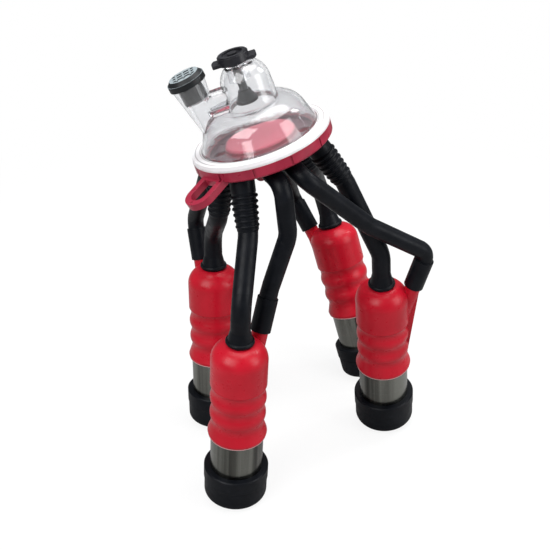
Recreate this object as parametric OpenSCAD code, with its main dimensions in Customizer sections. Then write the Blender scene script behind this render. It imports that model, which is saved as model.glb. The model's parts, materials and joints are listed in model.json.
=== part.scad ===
// Milking cluster: a clear-bowl claw with four teat cups, standing on its cups. Millimetres, +Z up.

/* [Claw] */
// Radius of the claw's rim, red base and clear flange
rim_r = 59.5; // [52:0.5:70]
// Height of the red rim band below the joint
band_h = 9.5; // [8:0.5:14]
// Thickness of the clear flange above the joint
flange_t = 4.5; // [3:0.5:6]
// Radius of the bowl wall where it leaves the flange
bowl_r = 50; // [47:0.5:52]
// Height of the dome's foot above the joint
bowl_h = 34; // [30:0.5:40]
// Radius of the bowl's round shoulder
shoulder_r = 20; // [14:0.5:22]
// Wall thickness of the clear bowl
bowl_wall = 3; // [2:0.5:4]
// Radius of the small dome on top of the bowl
dome_r = 20.7; // [20:0.1:23]
// Offset of the dome from the valve's axis, away from the outlet
dome_shift = 3.2; // [0:0.1:4]
// Radius of the raised disc in the middle of the base
disc_r = 30.5; // [26:0.5:32]
// Radius of the circle on which the milk inlets leave the base
inlet_circle_r = 37; // [36:0.5:38]
// Outward lean of the milk inlets
inlet_lean = 20; // [14:1:24]
// Outer radius of a milk inlet nipple
inlet_r = 6.5; // [5.5:0.25:7]
// Bore radius of a milk inlet nipple
inlet_bore_r = 5; // [3.5:0.25:5.25]
// Radius of the air distributor below the base
air_r = 21; // [19:0.5:22]
// Outer radius of an air nipple on the distributor
air_nipple_r = 5; // [4:0.25:5.5]

/* [Shut-off valve and outlet] */
// Radius of the valve stem
stem_r = 3.5; // [2.5:0.25:4]
// Radius of the knob's body
knob_r = 12.8; // [10:0.2:14]
// Width across the knob's two ears
knob_ears = 37; // [30:1:42]
// Height of the knob
knob_h = 7.5; // [6.5:0.5:12]
// Lift of the valve
valve_lift = 8; // [4:0.5:9]
// Radius of the outlet spigot under its plug
outlet_r = 14.5; // [13:0.5:15]
// Radius of the outlet bore
outlet_bore_r = 6.5; // [5:0.5:7]
// Radius of the plug's head
plug_r = 15.7; // [15:0.1:18]

/* [Teat cups] */
// Radius of the liner's mouthpiece
mouth_r = 29; // [27:0.5:31]
// Height of the mouthpiece
mouth_h = 34; // [30:0.5:38]
// Radius of the teat opening and of the liner's barrel
teat_r = 11; // [9.5:0.25:12]
// Radius of the steel shell
shell_r = 23.4; // [22.5:0.1:24.5]
// Wall thickness of the steel shell
shell_t = 1.2; // [0.8:0.1:1.5]
// Height of the lower edge of the grip sleeve
sleeve_z = 70.5; // [66:0.5:76]
// Height of the top of the grip sleeve
sleeve_top = 166; // [160:0.5:174]
// Radius of the sleeve at a bulge
sleeve_bulge_r = 24.5; // [24:0.1:25.5]
// Radius of the sleeve at a waist
sleeve_waist_r = 22.7; // [22.3:0.1:23.2]
// Radius of the flare at the sleeve's lower edge
sleeve_flare_r = 26.2; // [25.5:0.1:28]

/* [Tubes] */
// Radius of a short milk tube
milk_tube_r = 8.5; // [8:0.25:9.25]
// Bore radius of a short milk tube
milk_tube_bore_r = 5.5; // [4.5:0.25:6]
// Radius of the cuff over a milk inlet
cuff_r = 10.4; // [9.5:0.1:11]
// Radius of a short air tube
air_tube_r = 7.8; // [7:0.1:8.4]

/* [Hidden] */
$fn = 96;
fit_gap = 0.05;
step = 0.1;
lap = 1;

// the whole part is moved so that its frame sits at the middle of its footprint
middle = [27.3, -15.7];

// cups in the order front left, front right, rear left, rear right:
// foot x, foot y, lean, direction of the lean, direction of the air nipple
cups = [
    [-36.5, -124.5, 3, -30, 55],
    [111, -15.5, 8.5, 236, 0],
    [-58.5, -14, 4, 87, 118],
    [102, 62, 18, 151, 140]
];

// claw: joint centre, lean to the left
claw_pos = [-12 - middle.x, -43.5 - middle.y, 313.5];
claw_lean = 17.3;
inlet_az = [-120, 0, 180, 60];
air_az = [-68, -68, 152, 88];
air_side = [-8.8, 8.8, 0, 0];
air_out = [32, 32, 46, 44];
feed_az = 120;
outlet_az = 190;
hook_az = -135;

// claw base
floor_top = -3;
floor_low = -7;
disc_top = 3.6;
gasket_r = bowl_r - bowl_wall / 2;
gasket_w = 3;
gasket_t = 2;
air_low = -24;
air_wall = 3;
air_z = -16.5;
air_drop = 15;
air_bore_r = air_nipple_r - 1.75;
feed_foot = 12;
feed_drop = 55;
feed_len = 28;
feed_collar = 11;
feed_r = 4.5;
air_len = 20;
air_seat = 2.5;
inlet_z = -5;
inlet_collar = 9;
inlet_len = 35;
hook_r = 13;
hook_reach = 29;
hook_z = -8.5;
hook_t = 6;
hook_drop = 14;
hook_side = 5.5;
screw_r = 2.5;
screw_head_r = 4.5;

// clear bowl
dome_mid = bowl_h + 14.5;
dome_flat = dome_mid + 17.5;
dome_top = dome_flat + 2;
neck_r = 7.5;
neck_low = dome_top - 15;
dome_foot_r = dome_r + 1.2;
outlet_foot = [36, bowl_h - 5];
outlet_lean = 8;
outlet_len = 35;
outlet_root = 8;
plug_t = 8;
plug_in = 14;
plug_in_r = outlet_r - 4.5;
bridge_r = 11;
bridge_z = bowl_h + 7;
bridge_bore_r = outlet_bore_r - 0.5;

// valve
knob_flange_t = 2.8;
head_r = 9;
head_h = 10;
head_top = neck_low - valve_lift - 1;
stem_low = head_top - 4;

// cups
mouth_edge = 6;
mouth_ring = mouth_r - mouth_edge - 0.6;
lip_t = 4;
band_t = 13;
chamber_r = teat_r + 6;
chamber_top = 20;
barrel_r = teat_r + 2.3;
barrel_top = sleeve_top - 10;
shell_low = 22;
shell_neck_r = sleeve_waist_r - 2.2;
shell_top = sleeve_top - 9;
sleeve_in_r = shell_neck_r + fit_gap;
neck_hole_r = 9.6;
collar_r = 11.3;
collar_z = sleeve_top + 0.1;
collar_h = 16;
nipple_lean = 18;
nipple_r = 7.2;
nipple_end = [29, sleeve_top - 3];
barb_r = 5;
barb_len = 28;
wave = 17;
dome_fillet = 16;

// tubes
cuff_len = 13;
bellows_n = 6;
bellows_pitch = 4.85;
bellows_r0 = cuff_r + 1.2;
bellows_r1 = milk_tube_r + 1.5;
ridge_r = 1.3;
milk_out = cuff_len + bellows_n * bellows_pitch + 5;
milk_up = 34;
milk_bend = 32;
air_cuff_r = air_tube_r + 1.2;
air_cuff_len = 34;
air_up = 38;
air_bend = [[13, 28, 50], [14, 60, 13], [20, 15], [24, 11.5]];
air_mid = [[[0.4, 20, -10, 4]], [[0.5, 13, -11, 5]], [], []];

function unit(v) = v / norm(v);
function turn_z(a, v) = [v.x * cos(a) - v.y * sin(a), v.x * sin(a) + v.y * cos(a), v.z];
function turn_y(a, v) = [v.x * cos(a) + v.z * sin(a), v.y, v.z * cos(a) - v.x * sin(a)];
function foot_z(i) = mouth_ring * sin(cups[i][2]) + mouth_edge * (1 - cos(cups[i][2]));
function cup_pos(i) = [cups[i][0] - middle.x, cups[i][1] - middle.y, foot_z(i)];
function cup_dir(i, v) = turn_z(cups[i][3], turn_y(cups[i][2], turn_z(cups[i][4] - cups[i][3], v)));
function cup_at(i, p) = cup_pos(i) + cup_dir(i, p);
function claw_dir(v) = turn_y(-claw_lean, v);
function claw_at(p) = claw_pos + claw_dir(p);
function round_az(a, r, z) = [r * cos(a), r * sin(a), z];
function air_foot(i) = turn_z(air_az[i], [air_r, air_side[i], air_z]);

// milk inlet: start point, direction and points along its nipple
function inlet_dir(i) = claw_dir(round_az(inlet_az[i], sin(inlet_lean), -cos(inlet_lean)));
function inlet_at(i, s) = claw_at(round_az(inlet_az[i], inlet_circle_r, inlet_z)) + inlet_dir(i) * s;
function air_dir(i) = claw_dir(round_az(air_az[i], cos(air_drop), -sin(air_drop)));
function air_at(i, s) = claw_at(air_foot(i)) + air_dir(i) * s;
function barb_dir(i) = cup_dir(i, [sin(nipple_lean), 0, cos(nipple_lean)]);
function barb_at(i, s) = cup_at(i, [nipple_end.x, 0, nipple_end.y]) + barb_dir(i) * s;

// route of a milk tube and of an air tube, from the claw to the cup
function milk_route(i) = [
    inlet_at(i, inlet_collar),
    inlet_at(i, inlet_collar + milk_out),
    cup_at(i, [0, 0, collar_z + milk_up]),
    cup_at(i, [0, 0, collar_z + 6])
];
function between(i, m) = air_at(i, 1) * (1 - m[0]) + barb_at(i, 0) * m[0] + [m[1], m[2], m[3]];
function air_route(i) = concat(
    [air_at(i, air_seat), air_at(i, air_out[i])],
    [for (m = air_mid[i]) between(i, m)],
    [barb_at(i, air_up), barb_at(i, 0)]
);

module along(p, q) {
    d = q - p;
    translate(p) rotate([0, acos(d.z / norm(d)), atan2(d.y, d.x)]) children();
}

module place_cup(i) {
    translate(cup_pos(i)) rotate([0, 0, cups[i][3]]) rotate([0, cups[i][2], 0])
        rotate([0, 0, cups[i][4] - cups[i][3]]) children();
}

module place_claw() {
    translate(claw_pos) rotate([0, -claw_lean, 0]) children();
}

module rod(p, q, r) {
    along(p, q) cylinder(r = r, h = norm(q - p));
}

// a round bend of a run at corner p
module bend(p, u, w, big, r) {
    a = acos(u * w);
    m = unit(w - u * (u * w));
    n = cross(u, m);
    c = p - u * (big * tan(a / 2)) + m * big;
    multmatrix([
        [-m.x, u.x, n.x, c.x],
        [-m.y, u.y, n.y, c.y],
        [-m.z, u.z, n.z, c.z],
        [0, 0, 0, 1]
    ]) rotate_extrude(angle = a) translate([big, 0]) circle(r = r);
}

// straight runs a step wider than the bends they lap into
module run(pts, bends, r) {
    n = len(pts);
    dirs = [for (i = [0:n - 2]) unit(pts[i + 1] - pts[i])];
    cut = [for (i = [0:n - 1])
        i == 0 || i == n - 1 ? -lap : bends[i - 1] * tan(acos(dirs[i - 1] * dirs[i]) / 2)];
    for (i = [0:n - 2])
        rod(pts[i] + dirs[i] * (i == 0 ? 0 : cut[i] - lap),
            pts[i + 1] - dirs[i] * (i == n - 2 ? 0 : cut[i + 1] - lap), r);
    for (i = [1:n - 2])
        bend(pts[i], dirs[i - 1], dirs[i], bends[i - 1], r - step);
}

module ring(r_in, r_out, z0, z1) {
    translate([0, 0, z0]) difference() {
        cylinder(r = r_out, h = z1 - z0);
        translate([0, 0, -1]) cylinder(r = r_in, h = z1 - z0 + 2);
    }
}

// clear bowl

// bowl wall: a cone from the flange that runs into a round shoulder
module bowl_shape(t) {
    mid = [dome_foot_r + dome_shift, bowl_h - 2 - shoulder_r];
    r = shoulder_r - t;
    join = mid + (r - 0.2) * [cos(24), sin(24)];
    polygon([[0, -1], [bowl_r - t, -1], [bowl_r - t, flange_t], join, [0, join.y]]);
    translate(mid) circle(r = r);
    polygon([[0, mid.y - 1], [mid.x, mid.y - 1], [mid.x, mid.y + r], [0, mid.y + r]]);
}

module dome_shape(t) {
    intersection() {
        translate([0, dome_mid]) circle(r = dome_r + 0.1 - t);
        translate([0, bowl_h]) square([dome_r + 5, dome_flat - bowl_h - t]);
    }
    polygon([[0, bowl_h - 6], [dome_foot_r - t, bowl_h - 6], [dome_foot_r - t, bowl_h],
        [dome_r - t, dome_mid], [0, dome_mid]]);
}

module dome(t) {
    rotate([0, 0, outlet_az]) translate([-dome_shift, 0, 0]) rotate_extrude() dome_shape(t);
}

// passage from the dome to the outlet
module bridge(r) {
    rotate([0, 0, outlet_az]) translate([8, 0, bridge_z]) rotate([0, 90, 0]) cylinder(r = r, h = outlet_foot.x - 7);
}

module outlet_frame() {
    rotate([0, 0, outlet_az]) translate([outlet_foot.x, 0, outlet_foot.y]) rotate([0, outlet_lean, 0]) children();
}

module claw_bowl() {
    color([0.85, 0.88, 0.9, 0.45]) place_claw() difference() {
        union() {
            rotate_extrude() {
                polygon([[0, 0], [rim_r, 0], [rim_r - 0.8, flange_t], [0, flange_t]]);
                intersection() {
                    bowl_shape(0);
                    square([rim_r - 2, bowl_h + 5]);
                }
            }
            dome(0);
            translate([0, 0, dome_mid]) cylinder(r = neck_r, h = dome_top - dome_mid);
            bridge(bridge_r);
            outlet_frame() translate([0, 0, -outlet_root])
                cylinder(r1 = outlet_bore_r + 1.5, r2 = outlet_r, h = outlet_len + outlet_root);
        }
        difference() {
            union() {
                rotate_extrude() bowl_shape(bowl_wall);
                dome(bowl_wall);
                bridge(bridge_bore_r);
                outlet_frame() {
                    translate([0, 0, -outlet_root - 4]) cylinder(r = outlet_bore_r, h = outlet_len + outlet_root);
                    translate([0, 0, outlet_len - plug_in - 1]) cylinder(r = plug_in_r, h = plug_in + 4);
                }
            }
            translate([0, 0, neck_low]) cylinder(r1 = neck_r + 2, r2 = neck_r, h = dome_top - neck_low);
        }
        translate([0, 0, neck_low - 1]) cylinder(r = stem_r + fit_gap, h = dome_top);
    }
}

// red base with rim, raised disc, milk inlets and hanging loop

module hook_frame() {
    rotate([0, 0, hook_az]) translate([rim_r - 3, 0, hook_z]) rotate([0, hook_drop, 0]) children();
}

module hook_plan(w, start) {
    translate([hook_reach + 3 - hook_r, 0]) circle(r = w);
    translate([start, -w]) square([hook_reach + 3 - hook_r - start, 2 * w]);
}

module claw_base() {
    color([0.72, 0.1, 0.17]) place_claw() difference() {
        union() {
            rotate_extrude() polygon([[0, floor_low], [bowl_r - 8, floor_low], [bowl_r - 6, -band_h],
                [rim_r - 1.5, -band_h], [rim_r, 1.5 - band_h], [rim_r, 0], [bowl_r - bowl_wall - 3, 0],
                [bowl_r - bowl_wall - 3, floor_top], [disc_r + 2, floor_top], [disc_r, floor_top + 2],
                [disc_r, disc_top - 2], [disc_r - 2, disc_top], [0, disc_top]]);
            for (i = [0:3]) rotate([0, 0, inlet_az[i]]) translate([inlet_circle_r, 0, inlet_z])
                rotate([0, 180 - inlet_lean, 0]) {
                    cylinder(r = cuff_r - 0.4, h = inlet_collar);
                    cylinder(r = inlet_r, h = inlet_len);
                }
            hook_frame() difference() {
                linear_extrude(hook_t, center = true) hook_plan(hook_r, -2);
                linear_extrude(hook_t + 2, center = true) hook_plan(hook_r - hook_side, 4);
                translate([hook_reach + 0.2, 0, hook_t / 2]) sphere(r = 1.5);
            }
        }
        for (i = [0:3]) rotate([0, 0, inlet_az[i]]) translate([inlet_circle_r, 0, inlet_z])
            rotate([0, 180 - inlet_lean, 0]) translate([0, 0, -8]) cylinder(r = inlet_bore_r, h = inlet_len + 10);
        ring(gasket_r - gasket_w / 2, gasket_r + gasket_w / 2, -gasket_t, 1);
        for (k = [0:11]) rotate([0, 0, 30 * k - 5]) translate([rim_r, 0, -band_h - 1])
            translate([-0.8, -1, 0]) cube([3, 2, band_h]);
        translate([0, 0, floor_low - 1]) cylinder(r = screw_r, h = 9);
    }
}

module bowl_gasket() {
    color([0.1, 0.1, 0.1]) place_claw()
        ring(gasket_r - gasket_w / 2 + fit_gap, gasket_r + gasket_w / 2 - fit_gap, -gasket_t, 0);
}

// air distributor below the base

module air_distributor() {
    color([0.72, 0.1, 0.17]) place_claw() difference() {
        union() {
            translate([0, 0, air_low]) cylinder(r = air_r, h = floor_low - 1 - air_low);
            for (i = [0:3]) rotate([0, 0, air_az[i]]) translate([air_r, air_side[i], air_z]) rotate([0, 90 + air_drop, 0])
                translate([0, 0, -6]) cylinder(r = air_nipple_r, h = air_len + 6);
            rotate([0, 0, feed_az]) translate([feed_foot, 0, air_low + air_wall]) rotate([0, 90 + feed_drop, 0]) {
                cylinder(r = feed_r, h = feed_len);
                cylinder(r = feed_r + 1.5, h = feed_collar);
            }
        }
        difference() {
            translate([0, 0, air_low + air_wall]) cylinder(r = air_r - air_wall, h = 30);
            translate([0, 0, air_low]) cylinder(r = screw_r + 4, h = 40);
        }
        for (i = [0:3]) rotate([0, 0, air_az[i]]) translate([air_r, air_side[i], air_z]) rotate([0, 90 + air_drop, 0])
            translate([0, 0, -9]) cylinder(r = air_bore_r, h = air_len + 12);
        rotate([0, 0, feed_az]) translate([feed_foot, 0, air_low + air_wall]) rotate([0, 90 + feed_drop, 0])
            translate([0, 0, -4]) cylinder(r = feed_r - 1.5, h = feed_len + 6);
        translate([0, 0, air_low - 1]) cylinder(r = screw_r + fit_gap, h = 40);
        translate([0, 0, air_low - 1]) cylinder(r = screw_head_r + 0.5, h = 4);
    }
}

module distributor_gasket() {
    color([0.1, 0.1, 0.1]) place_claw() ring(air_r - air_wall, air_r - 0.2, floor_low - 1, floor_low);
}

module distributor_screw() {
    color([0.7, 0.7, 0.72]) place_claw() difference() {
        union() {
            translate([0, 0, air_low]) cylinder(r = screw_head_r, h = 3);
            translate([0, 0, air_low + 2]) cylinder(r = screw_r - fit_gap, h = -air_low - 2);
        }
        translate([0, 0, air_low - 1]) cylinder(r = 2, h = 3, $fn = 6);
    }
}

// shut-off valve

module shutoff_knob() {
    color([0.1, 0.1, 0.11]) place_claw() translate([0, 0, dome_top]) difference() {
        union() {
            cylinder(r = knob_r, h = knob_h - 1);
            cylinder(r = knob_r - 1, h = knob_h);
            intersection() {
                cylinder(r = knob_ears / 2, h = knob_flange_t);
                translate([-knob_ears, -knob_r * 0.55, -1]) cube([2 * knob_ears, knob_r * 1.1, 20]);
            }
        }
        translate([0, 0, -1]) cylinder(r = stem_r + fit_gap, h = knob_h - 2);
        translate([0, 0, knob_h - 2]) ring(4, knob_r - 4, 0, 5);
    }
}

module valve_stem() {
    color([0.12, 0.12, 0.13]) place_claw()
        translate([0, 0, stem_low]) cylinder(r = stem_r, h = dome_top + knob_h - 3 - stem_low);
}

module valve_head() {
    color([0.14, 0.14, 0.15]) place_claw() difference() {
        translate([0, 0, head_top - head_h]) union() {
            cylinder(r = head_r, h = 2.5);
            translate([0, 0, 2]) cylinder(r1 = head_r - 0.5, r2 = stem_r + 1.5, h = head_h - 2);
        }
        translate([0, 0, stem_low]) cylinder(r = stem_r + fit_gap, h = 30);
    }
}

module outlet_plug() {
    color([0.13, 0.13, 0.14]) place_claw() outlet_frame() translate([0, 0, outlet_len]) difference() {
        union() {
            cylinder(r = plug_r, h = plug_t - 3);
            translate([0, 0, plug_t - 3.2]) cylinder(r1 = plug_r - 0.3, r2 = plug_r - 3, h = 3.2);
            translate([0, 0, -plug_in]) cylinder(r = plug_in_r - fit_gap, h = plug_in + 1);
            for (k = [-1:1]) {
                translate([-9, 6 * k - 0.8, plug_t - 0.5]) cube([18, 1.6, 1.3]);
                translate([6 * k - 0.8, -9, plug_t - 0.5]) cube([1.6, 18, 1.2]);
            }
        }
        translate([0, 0, -plug_in - 1]) cylinder(r = plug_in_r - 3, h = plug_in + 3);
    }
}

// teat cup: steel shell, red grip sleeve, rubber liner

module shell(i) {
    color([0.75, 0.76, 0.78]) place_cup(i) difference() {
        rotate_extrude() polygon([[shell_r - shell_t, shell_low], [shell_r, shell_low], [shell_r, sleeve_z + 2],
            [shell_neck_r, sleeve_z + 8], [shell_neck_r, shell_top], [barrel_r + 1, shell_top],
            [barrel_r + 1, shell_top - shell_t], [shell_neck_r - shell_t, shell_top - shell_t],
            [shell_neck_r - shell_t, sleeve_z + 8], [shell_r - shell_t, sleeve_z + 1.5]]);
        translate([nipple_end.x, 0, nipple_end.y]) rotate([0, nipple_lean, 0])
            translate([0, 0, -60]) cylinder(r = 3, h = 60);
    }
}

module sleeve_shape() {
    mean = (sleeve_bulge_r + sleeve_waist_r) / 2;
    rise = (sleeve_bulge_r - sleeve_waist_r) / 2;
    arc = wave * wave / 32 / rise + rise / 2;
    z0 = sleeve_z + 10.5;
    difference() {
        union() {
            polygon([[0, sleeve_z], [sleeve_flare_r - 0.6, sleeve_z], [sleeve_flare_r, sleeve_z + 3],
                [mean, z0], [mean, z0 + 2.5 * wave], [0, z0 + 2.5 * wave]]);
            for (k = [0:1]) intersection() {
                translate([sleeve_bulge_r - arc, z0 + wave * (k + 0.75)]) circle(r = arc);
                translate([mean - 2, z0 + wave * (k + 0.5)]) square([10, wave / 2]);
            }
            translate([0, z0 + 2.5 * wave - 1]) intersection() {
                square([sleeve_bulge_r, sleeve_top - z0 - 2.5 * wave + 1]);
                union() {
                    square([sleeve_bulge_r, sleeve_top - z0 - 2.5 * wave + 1 - dome_fillet]);
                    square([sleeve_bulge_r - dome_fillet, 80]);
                    translate([sleeve_bulge_r - dome_fillet, sleeve_top - z0 - 2.5 * wave + 1 - dome_fillet])
                        circle(r = dome_fillet);
                }
            }
        }
        for (k = [0:2]) translate([sleeve_waist_r + arc, z0 + wave * (k + 0.25)]) circle(r = arc);
    }
}

module sleeve(i) {
    color([0.72, 0.1, 0.17]) place_cup(i) difference() {
        union() {
            rotate_extrude() sleeve_shape();
            translate([nipple_end.x, 0, nipple_end.y]) rotate([0, nipple_lean, 0]) {
                translate([0, 0, -48]) cylinder(r = nipple_r, h = 48);
                translate([0, 0, -2]) cylinder(r = barb_r, h = barb_len + 2);
            }
            rotate([90, 0, 0]) translate([0, 0, -3]) linear_extrude(6) polygon([
                [20, sleeve_z + 14], [sleeve_waist_r + 0.5, sleeve_z + 14], [33.5, sleeve_top - 10], [20, sleeve_top - 20]]);
        }
        rotate_extrude() polygon([[0, sleeve_z - 1], [shell_r + fit_gap, sleeve_z - 1], [shell_r + fit_gap, sleeve_z + 2],
            [sleeve_in_r, sleeve_z + 8], [sleeve_in_r, shell_top + fit_gap], [0, shell_top + fit_gap]]);
        translate([0, 0, shell_top - 1]) cylinder(r = neck_hole_r, h = 40);
        translate([nipple_end.x, 0, nipple_end.y]) rotate([0, nipple_lean, 0])
            translate([0, 0, -60]) cylinder(r = 3, h = 100);
    }
}

module liner_head() {
    rotate_extrude() difference() {
        union() {
            polygon([[0, 0], [mouth_ring, 0], [mouth_r - 0.6, mouth_edge], [mouth_r - 0.6, mouth_h - band_t - 1],
                [mouth_r - 1.6, mouth_h - band_t], [mouth_r, mouth_h - band_t], [mouth_r, mouth_h - 1],
                [mouth_r - 1, mouth_h], [shell_r + fit_gap, mouth_h], [shell_r + fit_gap, shell_low - fit_gap],
                [shell_r - shell_t - fit_gap, shell_low - fit_gap], [shell_r - shell_t - fit_gap, mouth_h - 4],
                [barrel_r, mouth_h + 8], [barrel_r, barrel_top], [neck_hole_r - 0.1, barrel_top + 1],
                [neck_hole_r - 0.1, collar_z], [collar_r, collar_z], [collar_r, collar_z + 1.5],
                [milk_tube_r - 0.7, collar_z + collar_h], [0, collar_z + collar_h]]);
            translate([mouth_ring, mouth_edge]) circle(r = mouth_edge);
        }
        polygon([[0, -1], [teat_r, -1], [teat_r, lip_t], [chamber_r, lip_t + 2], [chamber_r, chamber_top],
            [teat_r, chamber_top + 7], [teat_r, barrel_top - 6], [milk_tube_bore_r + 0.3, barrel_top + 1],
            [milk_tube_bore_r + 0.3, collar_z + 7], [0, collar_z + 7]]);
    }
}

module liner_cuff() {
    difference() {
        rotate_extrude() {
            polygon([[0, 0], [cuff_r, 0], [cuff_r, cuff_len], [cuff_r - 0.4, cuff_len + 1],
                [milk_tube_r + 0.6, milk_out - 3], [milk_tube_r - 0.3, milk_out - 1], [0, milk_out - 1]]);
            for (k = [0:bellows_n - 1])
                translate([bellows_r0 + (bellows_r1 - bellows_r0) * k / (bellows_n - 1) - ridge_r,
                    cuff_len + bellows_pitch * (k + 0.7)]) circle(r = ridge_r);
        }
        translate([0, 0, -1]) cylinder(r = inlet_r + fit_gap, h = inlet_len - inlet_collar + 3);
    }
}

module liner(i) {
    pts = milk_route(i);
    color([0.11, 0.11, 0.12]) difference() {
        union() {
            place_cup(i) liner_head();
            along(pts[0], pts[1]) liner_cuff();
            difference() {
                run([pts[0] + unit(pts[1] - pts[0]) * (milk_out - 8), pts[1], pts[2], pts[3]],
                    [milk_bend, milk_bend], milk_tube_r);
                place_cup(i) translate([0, 0, barrel_top - 10]) cylinder(r = 40, h = collar_z + 6.5 - barrel_top + 10);
            }
        }
        run([pts[0] + unit(pts[1] - pts[0]) * (inlet_len - inlet_collar), pts[1], pts[2], pts[3]],
            [milk_bend, milk_bend], milk_tube_bore_r);
    }
}

module air_tube(i) {
    pts = air_route(i);
    n = len(pts);
    color([0.12, 0.12, 0.13]) difference() {
        union() {
            run(pts, air_bend[i], air_tube_r);
            rod(pts[n - 1], barb_at(i, 30), air_cuff_r);
            rod(pts[0], air_at(i, 13), air_tube_r + 0.4);
        }
        run(pts, air_bend[i], barb_r - 1);
        rod(barb_at(i, -1), barb_at(i, barb_len + 0.2), barb_r + fit_gap);
        rod(air_at(i, -1), air_at(i, air_len + 0.2), air_nipple_r + fit_gap);
    }
}

module shell_fl() { shell(0); }
module shell_fr() { shell(1); }
module shell_rl() { shell(2); }
module shell_rr() { shell(3); }
module sleeve_fl() { sleeve(0); }
module sleeve_fr() { sleeve(1); }
module sleeve_rl() { sleeve(2); }
module sleeve_rr() { sleeve(3); }
module liner_fl() { liner(0); }
module liner_fr() { liner(1); }
module liner_rl() { liner(2); }
module liner_rr() { liner(3); }
module air_tube_fl() { air_tube(0); }
module air_tube_fr() { air_tube(1); }
module air_tube_rl() { air_tube(2); }
module air_tube_rr() { air_tube(3); }

claw_bowl();
claw_base();
bowl_gasket();
air_distributor();
distributor_gasket();
distributor_screw();
shutoff_knob();
valve_stem();
valve_head();
outlet_plug();
shell_fl();
shell_fr();
shell_rl();
shell_rr();
sleeve_fl();
sleeve_fr();
sleeve_rl();
sleeve_rr();
liner_fl();
liner_fr();
liner_rl();
liner_rr();
air_tube_fl();
air_tube_fr();
air_tube_rl();
air_tube_rr();
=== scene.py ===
"""Looks of the milking cluster: materials, beads, camera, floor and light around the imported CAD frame."""
import json
import math

import bpy
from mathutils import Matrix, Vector


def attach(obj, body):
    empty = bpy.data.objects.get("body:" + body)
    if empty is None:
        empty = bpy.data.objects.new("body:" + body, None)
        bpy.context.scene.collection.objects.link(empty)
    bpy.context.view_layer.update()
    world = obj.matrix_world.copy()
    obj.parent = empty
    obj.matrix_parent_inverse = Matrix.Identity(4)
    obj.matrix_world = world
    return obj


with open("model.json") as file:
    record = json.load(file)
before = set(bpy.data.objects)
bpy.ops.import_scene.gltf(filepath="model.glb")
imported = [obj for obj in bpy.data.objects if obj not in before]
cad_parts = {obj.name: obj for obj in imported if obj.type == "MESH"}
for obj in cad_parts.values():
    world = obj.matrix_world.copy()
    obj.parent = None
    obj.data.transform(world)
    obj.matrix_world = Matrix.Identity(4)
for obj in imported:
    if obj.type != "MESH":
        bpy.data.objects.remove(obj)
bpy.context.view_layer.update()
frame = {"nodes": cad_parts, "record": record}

MM = 0.001
CUPS = ("fl", "fr", "rl", "rr")
CLUSTER = "cluster"

# The photograph's camera, fitted to the outlines of the four cups and of the claw's rim
IMAGE_PX = 550
FOCAL_PX = 946
SENSOR_MM = 36
CAMERA_AT = Vector((-27.3, -761.6, 609.4)) * MM
CAMERA_DOWN_DEG = 30.2
CLIP_NEAR, CLIP_FAR = 0.05, 50

# The claw's axis, from a point in its joint plane; heights on the claw start at that plane
CLAW_AT = Vector((-39.3, -27.8, 313.5)) * MM
CLAW = (CLAW_AT, Vector(frame["record"]["behaviour"]["joints"][0]["axis"]))

# The clear flange, which reads milky with darker rings, and the faint milkiness of the whole bowl
FLANGE_TOP, FLANGE_FROM_R = 5.0 * MM, 50.4 * MM
FLANGE_RINGS = 2 * math.pi / (4.2 * MM)
FLANGE_RING_SPAN = (0.4, 1)
FLANGE_MILKY, FLANGE_RING_MILKY, BOWL_MILKY = 0.92, 0.45, 0.035
MILKY_BACK_SHARE = 0.8

# The raised disc under the bowl, and the ring of floor around it, greyed by painted shade
DISC_R, DISC_TOP = 30.5 * MM, 3.6 * MM
DISC_FADE_R, DISC_FADE_DOWN = 1.0 * MM, 2.5 * MM
RING_TO_R, RING_TOP = 44.0 * MM, -3.0 * MM
RING_FADE_IN, RING_FADE_OUT = 1.5 * MM, 1.0 * MM
RING_FADE_FROM, RING_FADE_TO = 1.0 * MM, 0.4 * MM
RING_SHADE_SHARE = 0.75

# The painted highlight over each sleeve's lower edge, standing in for light caught by its rounded lip
SLEEVE_HIGHLIGHT_FROM, SLEEVE_HIGHLIGHT_TO = 0.5 * MM, 1.1 * MM
SLEEVE_HIGHLIGHT_SHARE = 0.8

# The bead around the foot of each liner's collar
COLLAR_OVER_SLEEVE_FOOT = 95.6 * MM
BEAD_R, BEAD_THICK, BEAD_UP = 10.4 * MM, 2.0 * MM, 2.2 * MM
BEAD_STEPS, BEAD_SIDES = 72, 20

# Colours; a pair holds the two tones that a noise runs between
WHITE = (1, 1, 1)
SLEEVE_TONES = (0.42, 0.0044, 0.0155), (0.51, 0.0075, 0.022)
# the next colour is the painted highlight on each sleeve's lower edge
SLEEVE_HIGHLIGHT_COLOUR = (0.75, 0.55, 0.55)
CLAW_TONES = (0.25, 0.012, 0.033), (0.35, 0.022, 0.05)
DISC_COLOUR = (0.62, 0.11, 0.16)
# the next colour is painted shade for the ring of floor around the disc
RING_SHADE_COLOUR = (0.16, 0.13, 0.15)
RUBBER_TONES = (0.0028, 0.0036, 0.0056), (0.007, 0.008, 0.011)
PLUG_TONES = (0.005, 0.006, 0.007), (0.012, 0.013, 0.015)
# the next tones are a painted grey sheen on the plug's flat top
PLUG_TOP_SHEEN_TONES = (0.22, 0.26, 0.28), (0.36, 0.41, 0.43)
KNOB_TONES = (0.008, 0.008, 0.011), (0.018, 0.018, 0.023)
CLEAR_TONES = (0.86, 0.87, 0.885), (0.93, 0.935, 0.945)
# the next colour is painted shade for the clear plastic at grazing angles
CLEAR_EDGE_SHADE_COLOUR = (0.60, 0.62, 0.65)
FLANGE_COLOUR = (0.97, 0.97, 0.98)
# the next tones hold the steel's colour and painted reflections of its surroundings
STEEL_AND_REFLECTION_TONES = (0.04, 0.039, 0.035), (0.225, 0.228, 0.205)
SCREW_TONES = (0.42, 0.42, 0.41), (0.6, 0.6, 0.59)
FLOOR_TONES = (0.90, 0.90, 0.90), (0.93, 0.93, 0.93)
FLOOR_DIM_COLOUR = (0.38, 0.38, 0.38)

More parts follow.
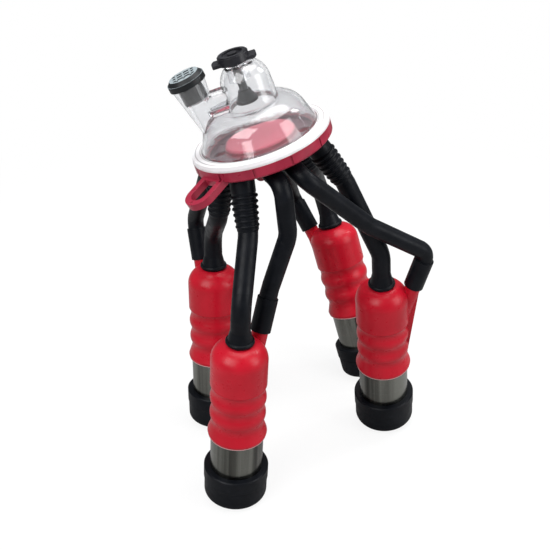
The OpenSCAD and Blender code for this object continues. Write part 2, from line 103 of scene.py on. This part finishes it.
# Surfaces: the part of a noise that patches use, refraction, edges rounded in shading and heights of relief
NOISE_SPAN = (0.3, 0.7)
MOULDED_IOR, CLEAR_IOR = 1.5, 1.46
EDGE_ROUND, EDGE_SAMPLES = 0.5 * MM, 4
GRAIN_HEIGHT, CLEAR_WAVE_HEIGHT, STEEL_RING_HEIGHT = 0.05 * MM, 0.1 * MM, 0.02 * MM
# painted shade of the clear plastic at grazing angles: the blend and span of its facing factor
CLEAR_EDGE_BLEND, CLEAR_EDGE_SPAN = 0.35, (0.15, 0.9)
# where the painted sheen on the plug's top starts and is full, by how far a face points along the outlet's
# axis
PLUG_SHEEN_SPAN = (0.85, 0.97)
# stretch of the painted reflection streaks along the cup and of the fine rings around it
STEEL_REFLECTION_STREAKS, STEEL_RINGS = (62, 62, 1.2), (12, 12, 2200)

# The floor, whose shadow shows near the object and gives way to plain white further out
FLOOR_REACH, FLOOR_DROP = 6.0, 0.2 * MM
FLOOR_GLOW_FROM, FLOOR_GLOW_TO = 0.2, 0.8
FLOOR_GLOW_NEAR, FLOOR_GLOW_FAR = 0.86, 1.0

# Room light, and the lamps: name, place, size and watts
ROOM_COLOUR, ROOM_STRENGTH = (0.95, 0.97, 1.0), 0.22
LAMP_AIM = Vector((0, 0, 0.2))
LAMPS = (
    ("key_left", (-0.8, -0.9, 1.1), (1.0, 1.0), 18),
    ("fill_right", (1.2, -0.5, 0.8), (0.7, 1.1), 11),
    ("top", (0.1, 0.2, 1.5), (1.1, 1.1), 20),
    ("glint_right", (0.75, 0.35, 0.95), (0.12, 0.35), 2.5),
)

mounts = {m["name"]: m for m in frame["record"]["mounts"]}


def cup_axis(cup):
    """A point on the cup's axis and the axis itself, pointing up to the claw."""
    mount = mounts["teat_opening_" + cup]
    return Vector(mount["pos_m"]), -Vector(mount["axis"]).normalized()


def sleeve_low(cup):
    """Height of the sleeve's lower edge along the cup's axis."""
    base, axis = cup_axis(cup)
    return min((v.co - base).dot(axis) for v in frame["nodes"]["sleeve_" + cup].data.vertices)


def add_object(name, data):
    """A new object in the scene."""
    made = bpy.data.objects.new(name, data)
    bpy.context.scene.collection.objects.link(made)
    return made


def direct_rays(tree):
    """A socket that is 1 for rays from the camera or through the clear bowl, and 0 for others."""
    rays = tree.nodes.new("ShaderNodeLightPath")
    either = tree.nodes.new("ShaderNodeMath")
    either.operation = "MAXIMUM"
    tree.links.new(rays.outputs["Is Camera Ray"], either.inputs[0])
    tree.links.new(rays.outputs["Is Transmission Ray"], either.inputs[1])
    return either.outputs[0]


# Node materials

class Shader:
    """A node tree with short calls for the nodes that the materials here need."""

    def __init__(self, name):
        self.material = bpy.data.materials.new(name)
        self.material.use_nodes = True
        self.tree = self.material.node_tree
        self.bsdf = self.tree.nodes["Principled BSDF"]
        self.out = self.tree.nodes["Material Output"]

    def node(self, kind, **settings):
        made = self.tree.nodes.new(kind)
        for key, value in settings.items():
            setattr(made, key, value)
        return made

    def link(self, source, target):
        self.tree.links.new(source, target)

    def set(self, **values):
        for key, value in values.items():
            self.bsdf.inputs[key.replace("_", " ")].default_value = value

    def fill(self, socket, value):
        """Link an input to a socket, or set the input to a value."""
        if isinstance(value, bpy.types.NodeSocket):
            self.link(value, socket)
        else:
            socket.default_value = value

    def coords(self, turn=None, stretch=None):
        """Object coordinates, turned so that Z runs along an axis and then stretched."""
        source = self.node("ShaderNodeTexCoord").outputs["Object"]
        if turn is not None:
            place = self.node("ShaderNodeMapping", vector_type="TEXTURE")
            place.inputs["Location"].default_value = turn[0]
            place.inputs["Rotation"].default_value = turn[1].to_track_quat("Z", "Y").to_euler()
            self.link(source, place.inputs["Vector"])
            source = place.outputs["Vector"]
        if stretch is not None:
            scale = self.node("ShaderNodeMapping")
            scale.inputs["Scale"].default_value = stretch
            self.link(source, scale.inputs["Vector"])
            source = scale.outputs["Vector"]
        return source

    def along(self, turn):
        """Height along an axis."""
        split = self.node("ShaderNodeSeparateXYZ")
        self.link(self.coords(turn), split.inputs[0])
        return split.outputs["Z"]

    def length(self, vector):
        made = self.node("ShaderNodeVectorMath", operation="LENGTH")
        self.link(vector, made.inputs[0])
        return made.outputs["Value"]

    def across(self, turn):
        """Distance from an axis."""
        return self.length(self.coords(turn, (1, 1, 0)))

    def noise(self, vector, scale, detail, roughness=0.5):
        made = self.node("ShaderNodeTexNoise")
        for key, value in (("Scale", scale), ("Detail", detail), ("Roughness", roughness)):
            made.inputs[key].default_value = value
        self.link(vector, made.inputs["Vector"])
        return made.outputs["Fac"]

    def spread(self, value, low, high, new_low, new_high):
        """One range mapped on another, clamped."""
        made = self.node("ShaderNodeMapRange")
        ends = {"From Min": low, "From Max": high, "To Min": new_low, "To Max": new_high}
        for key, number in ends.items():
            made.inputs[key].default_value = number
        self.link(value, made.inputs["Value"])
        return made.outputs["Result"]

    def patches(self, vector, scale, detail=2, roughness=0.5, span=NOISE_SPAN):
        """Soft patches from 0 to 1, by the part of a noise that lies in a span."""
        return self.spread(self.noise(vector, scale, detail, roughness), *span, 0, 1)

    def math(self, operation, first, second=0.0):
        made = self.node("ShaderNodeMath", operation=operation)
        self.fill(made.inputs[0], first)
        self.fill(made.inputs[1], second)
        return made.outputs[0]

    def blend(self, value, first, second):
        """Colour between two colours; either may be a socket."""
        made = self.node("ShaderNodeMix", data_type="RGBA")
        self.link(value, made.inputs["Factor"])
        for key, colour in (("A", first), ("B", second)):
            socket = [s for s in made.inputs if s.name == key and s.type == "RGBA"][0]
            self.fill(socket, colour if isinstance(colour, bpy.types.NodeSocket) else (*colour, 1))
        return [s for s in made.outputs if s.type == "RGBA"][0]

    def colour(self, source):
        self.link(source, self.bsdf.inputs["Base Color"])

    def rough(self, value, low, high):
        """Roughness between two values, by a noise."""
        self.link(self.spread(value, *NOISE_SPAN, low, high), self.bsdf.inputs["Roughness"])

    def bump(self, height, strength, distance):
        """Fine relief over edges that are rounded in shading."""
        edges = self.node("ShaderNodeBevel", samples=EDGE_SAMPLES)
        edges.inputs["Radius"].default_value = EDGE_ROUND
        made = self.node("ShaderNodeBump")
        made.inputs["Strength"].default_value = strength
        made.inputs["Distance"].default_value = distance
        self.link(edges.outputs["Normal"], made.inputs["Normal"])
        self.link(height, made.inputs["Height"])
        self.link(made.outputs["Normal"], self.bsdf.inputs["Normal"])

    def moulded(self, at, smears, rough, shine, grain, relief):
        """A moulded surface; smears and grain are the scale and detail of a noise."""
        self.rough(self.noise(at, *smears), *rough)
        self.set(IOR=MOULDED_IOR, Specular_IOR_Level=shine)
        self.bump(self.noise(at, *grain), relief, GRAIN_HEIGHT)

    def plain(self, kind, colour):
        """A diffuse, translucent or emission shader of one colour, to mix in."""
        made = self.node(kind)
        made.inputs["Color"].default_value = (*colour, 1)
        return made.outputs[0]

    def mix_shader(self, factor, first, second):
        made = self.node("ShaderNodeMixShader")
        self.fill(made.inputs["Fac"], factor)
        self.link(first, made.inputs[1])
        self.link(second, made.inputs[2])
        return made.outputs[0]


def red_plastic(cup):
    """Sleeve red, with a painted highlight along the lower edge, where light would catch its rounded lip."""
    s = Shader("red_sleeve_" + cup)
    at = s.coords()
    tone = s.blend(s.patches(at, 45), *SLEEVE_TONES)
    low, height = sleeve_low(cup), s.along(cup_axis(cup))
    # painted highlight: a pale band just above the sleeve's lower edge
    painted_highlight = s.spread(height, low + SLEEVE_HIGHLIGHT_FROM, low + SLEEVE_HIGHLIGHT_TO, SLEEVE_HIGHLIGHT_SHARE, 0)
    s.colour(s.blend(painted_highlight, tone, SLEEVE_HIGHLIGHT_COLOUR))
    s.moulded(at, smears=(160, 2), rough=(0.26, 0.4), shine=0.25, grain=(500, 2), relief=0.05)
    return s.material


def crimson_plastic():
    """The claw's red: cooler than the sleeves', paler on the raised disc, greyed by painted shade on the ring
    around it.
    """
    s = Shader("crimson_claw_plastic")
    at = s.coords()
    height, radius = s.along(CLAW), s.across(CLAW)
    tone = s.blend(s.patches(at, 60), *CLAW_TONES)
    in_disc = s.spread(radius, DISC_R - DISC_FADE_R, DISC_R, 1, 0)
    on_disc = s.spread(height, DISC_TOP - DISC_FADE_DOWN, DISC_TOP, 0, 1)
    tone = s.blend(s.math("MULTIPLY", in_disc, on_disc), tone, DISC_COLOUR)
    # painted shade: the ring of floor between the disc and the bowl's wall is greyed
    past_disc = s.spread(radius, DISC_R, DISC_R + RING_FADE_IN, 0, 1)
    in_bowl = s.spread(radius, RING_TO_R, RING_TO_R + RING_FADE_OUT, 1, 0)
    on_floor = s.spread(height, RING_TOP - RING_FADE_FROM, RING_TOP - RING_FADE_TO, 0, RING_SHADE_SHARE)
    painted_ring_shade = s.math("MULTIPLY", s.math("MULTIPLY", past_disc, in_bowl), on_floor)
    s.colour(s.blend(painted_ring_shade, tone, RING_SHADE_COLOUR))
    s.moulded(at, smears=(160, 2), rough=(0.27, 0.4), shine=0.3, grain=(500, 2), relief=0.06)
    return s.material


def black_rubber():
    s = Shader("black_rubber")
    at = s.coords()
    dust = s.patches(at, 70, detail=6, roughness=0.6, span=(0.45, 0.75))
    s.colour(s.blend(dust, *RUBBER_TONES))
    s.moulded(at, smears=(220, 4), rough=(0.34, 0.5), shine=0.13, grain=(1400, 3), relief=0.2)
    return s.material


def plug_rubber():
    """Black rubber whose flat top carries a painted grey sheen."""
    s = Shader("plug_rubber")
    at = s.coords()
    side = s.blend(s.noise(at, 90, 5), *PLUG_TONES)
    # painted sheen: faces that point along the outlet's axis turn grey
    painted_sheen = s.blend(s.noise(at, 260, 5), *PLUG_TOP_SHEEN_TONES)
    facing = s.node("ShaderNodeVectorMath", operation="DOT_PRODUCT")
    s.link(s.node("ShaderNodeNewGeometry").outputs["Normal"], facing.inputs[0])
    facing.inputs[1].default_value = mounts["milk_outlet"]["axis"]
    s.colour(s.blend(s.spread(facing.outputs["Value"], *PLUG_SHEEN_SPAN, 0, 1), side, painted_sheen))
    s.moulded(at, smears=(220, 4), rough=(0.4, 0.55), shine=0.3, grain=(1200, 3), relief=0.2)
    return s.material


def black_plastic():
    s = Shader("black_moulded_plastic")
    at = s.coords()
    s.colour(s.blend(s.patches(at, 90, detail=5, span=(0.4, 0.7)), *KNOB_TONES))
    s.moulded(at, smears=(260, 4), rough=(0.3, 0.45), shine=0.4, grain=(1100, 2), relief=0.15)
    return s.material


def clear_plastic():
    """Clear plastic with painted shade that greys it at grazing angles; the flange on the base reads milky
    white with darker rings.
    """
    s = Shader("clear_bowl_plastic")
    at = s.coords()
    front = s.blend(s.patches(at, 25), *CLEAR_TONES)
    # painted shade: grey mixed in where the surface is seen at a grazing angle
    edge = s.node("ShaderNodeLayerWeight")
    edge.inputs["Blend"].default_value = CLEAR_EDGE_BLEND
    grazing_shade = s.spread(edge.outputs["Facing"], *CLEAR_EDGE_SPAN, 0, 1)
    s.colour(s.blend(grazing_shade, front, CLEAR_EDGE_SHADE_COLOUR))
    haze = s.spread(s.noise(at, 55, 5, 0.6), 0.45, 0.8, 0.01, 0.07)
    s.link(haze, s.bsdf.inputs["Roughness"])
    s.set(IOR=CLEAR_IOR, Transmission_Weight=1.0)
    s.bump(s.noise(at, 120, 2), 0.03, CLEAR_WAVE_HEIGHT)
    radius = s.across(CLAW)
    flange = s.math("MULTIPLY", s.math("LESS_THAN", s.along(CLAW), FLANGE_TOP),
                    s.math("GREATER_THAN", radius, FLANGE_FROM_R))
    rings = s.math("SINE", s.math("MULTIPLY", radius, FLANGE_RINGS))
    milky = s.math("MULTIPLY", flange, s.spread(rings, *FLANGE_RING_SPAN, FLANGE_MILKY, FLANGE_RING_MILKY))
    milky = s.math("MAXIMUM", milky, BOWL_MILKY)
    through = s.plain("ShaderNodeBsdfTranslucent", FLANGE_COLOUR)
    back = s.plain("ShaderNodeBsdfDiffuse", FLANGE_COLOUR)
    body = s.mix_shader(MILKY_BACK_SHARE, through, back)
    s.link(s.mix_shader(milky, s.bsdf.outputs[0], body), s.out.inputs["Surface"])
    return s.material


def polished_steel(cup):
    """Steel with painted reflections, soft dark and light streaks along the cup; fine rings around it."""
    s = Shader("steel_" + cup)
    turn = cup_axis(cup)
    # painted reflections: dark and light streaks along the cup in the steel's colour
    reflection_streaks = s.patches(s.coords(turn, STEEL_REFLECTION_STREAKS), 1, detail=4, roughness=0.6, span=(0.34, 0.56))
    rings = s.noise(s.coords(turn, STEEL_RINGS), 1, 4, 0.6)
    s.colour(s.blend(reflection_streaks, *STEEL_AND_REFLECTION_TONES))
    s.rough(rings, 0.16, 0.28)
    s.set(Metallic=1.0)
    s.bump(rings, 0.05, STEEL_RING_HEIGHT)
    return s.material


def screw_steel():
    s = Shader("screw_steel")
    at = s.coords()
    s.colour(s.blend(s.noise(at, 300, 4), *SCREW_TONES))
    s.rough(s.noise(at, 800, 3), 0.25, 0.4)
    s.set(Metallic=1.0)
    return s.material


def dress(material, *nodes):
    for node in nodes:
        mesh = frame["nodes"][node].data
        mesh.materials.clear()
        mesh.materials.append(material)


RUBBER = black_rubber()
dress(clear_plastic(), "claw_bowl")
dress(crimson_plastic(), "claw_base", "air_distributor")
dress(screw_steel(), "distributor_screw")
dress(plug_rubber(), "outlet_plug")
dress(black_plastic(), "shutoff_knob", "valve_stem")
dress(RUBBER, "bowl_gasket", "distributor_gasket", "valve_head")
for cup in CUPS:
    dress(polished_steel(cup), "shell_" + cup)
    dress(red_plastic(cup), "sleeve_" + cup)
    dress(RUBBER, "liner_" + cup, "air_tube_" + cup)


# Detail pieces

def add_bead(cup):
    """Moulded bead at the foot of the liner's collar, where the tube leaves the sleeve."""
    base, axis = cup_axis(cup)
    seat = base + axis * (sleeve_low(cup) + COLLAR_OVER_SLEEVE_FOOT + BEAD_UP)
    across = axis.orthogonal().normalized()
    beside = axis.cross(across)
    points, faces = [], []
    for i in range(BEAD_STEPS):
        turn = 2 * math.pi * i / BEAD_STEPS
        out = across * math.cos(turn) + beside * math.sin(turn)
        for j in range(BEAD_SIDES):
            tilt = 2 * math.pi * j / BEAD_SIDES
            reach = BEAD_R + BEAD_THICK * math.cos(tilt)
            points.append(seat + out * reach + axis * BEAD_THICK * math.sin(tilt))
            k, m = (i + 1) % BEAD_STEPS, (j + 1) % BEAD_SIDES
            corners = ((i, j), (k, j), (k, m), (i, m))
            faces.append([step * BEAD_SIDES + side for step, side in corners])
    mesh = bpy.data.meshes.new("collar_bead_" + cup)
    mesh.from_pydata(points, [], faces)
    mesh.shade_smooth()
    mesh.materials.append(RUBBER)
    bead = add_object("collar_bead_" + cup, mesh)
    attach(bead, CLUSTER)


for cup in CUPS:
    add_bead(cup)


# Camera, floor and light

def add_camera():
    data = bpy.data.cameras.new("photo_camera")
    data.sensor_width = data.sensor_height = SENSOR_MM
    data.lens = SENSOR_MM * FOCAL_PX / IMAGE_PX
    data.clip_start, data.clip_end = CLIP_NEAR, CLIP_FAR
    camera = add_object("photo_camera", data)
    camera.location = CAMERA_AT
    camera.rotation_euler = (math.radians(90 - CAMERA_DOWN_DEG), 0, 0)
    bpy.context.scene.camera = camera


def floor_material():
    """White to direct rays, with a faint shadow near the object; grey to other rays."""
    s = Shader("white_floor")
    s.colour(s.blend(s.noise(s.coords(), 8, 2), *FLOOR_TONES))
    s.set(Roughness=0.9, Specular_IOR_Level=0.1)
    far = s.length(s.coords())
    glow_share = s.spread(far, FLOOR_GLOW_FROM, FLOOR_GLOW_TO, FLOOR_GLOW_NEAR, FLOOR_GLOW_FAR)
    seen = s.mix_shader(glow_share, s.bsdf.outputs[0], s.plain("ShaderNodeEmission", WHITE))
    dim = s.plain("ShaderNodeBsdfDiffuse", FLOOR_DIM_COLOUR)
    s.link(s.mix_shader(direct_rays(s.tree), dim, seen), s.out.inputs["Surface"])
    return s.material


def add_floor():
    r = FLOOR_REACH
    mesh = bpy.data.meshes.new("floor")
    mesh.from_pydata([(-r, -r, 0), (r, -r, 0), (r, r, 0), (-r, r, 0)], [], [(0, 1, 2, 3)])
    mesh.materials.append(floor_material())
    floor = add_object("floor", mesh)
    floor.location.z = -FLOOR_DROP


def add_world():
    """A dim room for light and reflections, white to direct rays."""
    world = bpy.data.worlds.new("studio")
    bpy.context.scene.world = world
    world.use_nodes = True
    tree = world.node_tree
    room = tree.nodes["Background"]
    room.inputs["Color"].default_value = (*ROOM_COLOUR, 1)
    room.inputs["Strength"].default_value = ROOM_STRENGTH
    white = tree.nodes.new("ShaderNodeBackground")
    white.inputs["Color"].default_value = (*WHITE, 1)
    mix = tree.nodes.new("ShaderNodeMixShader")
    tree.links.new(direct_rays(tree), mix.inputs["Fac"])
    tree.links.new(room.outputs[0], mix.inputs[1])
    tree.links.new(white.outputs[0], mix.inputs[2])
    tree.links.new(mix.outputs[0], tree.nodes["World Output"].inputs["Surface"])


def add_lamp(name, at, size, watts):
    data = bpy.data.lights.new(name, "AREA")
    data.shape = "RECTANGLE"
    data.size, data.size_y = size
    data.energy = watts
    lamp = add_object(name, data)
    lamp.location = at
    lamp.rotation_euler = (LAMP_AIM - Vector(at)).to_track_quat("-Z", "Y").to_euler()


add_camera()
add_floor()
add_world()
for lamp in LAMPS:
    add_lamp(*lamp)
bpy.context.scene.view_settings.view_transform = "Standard"
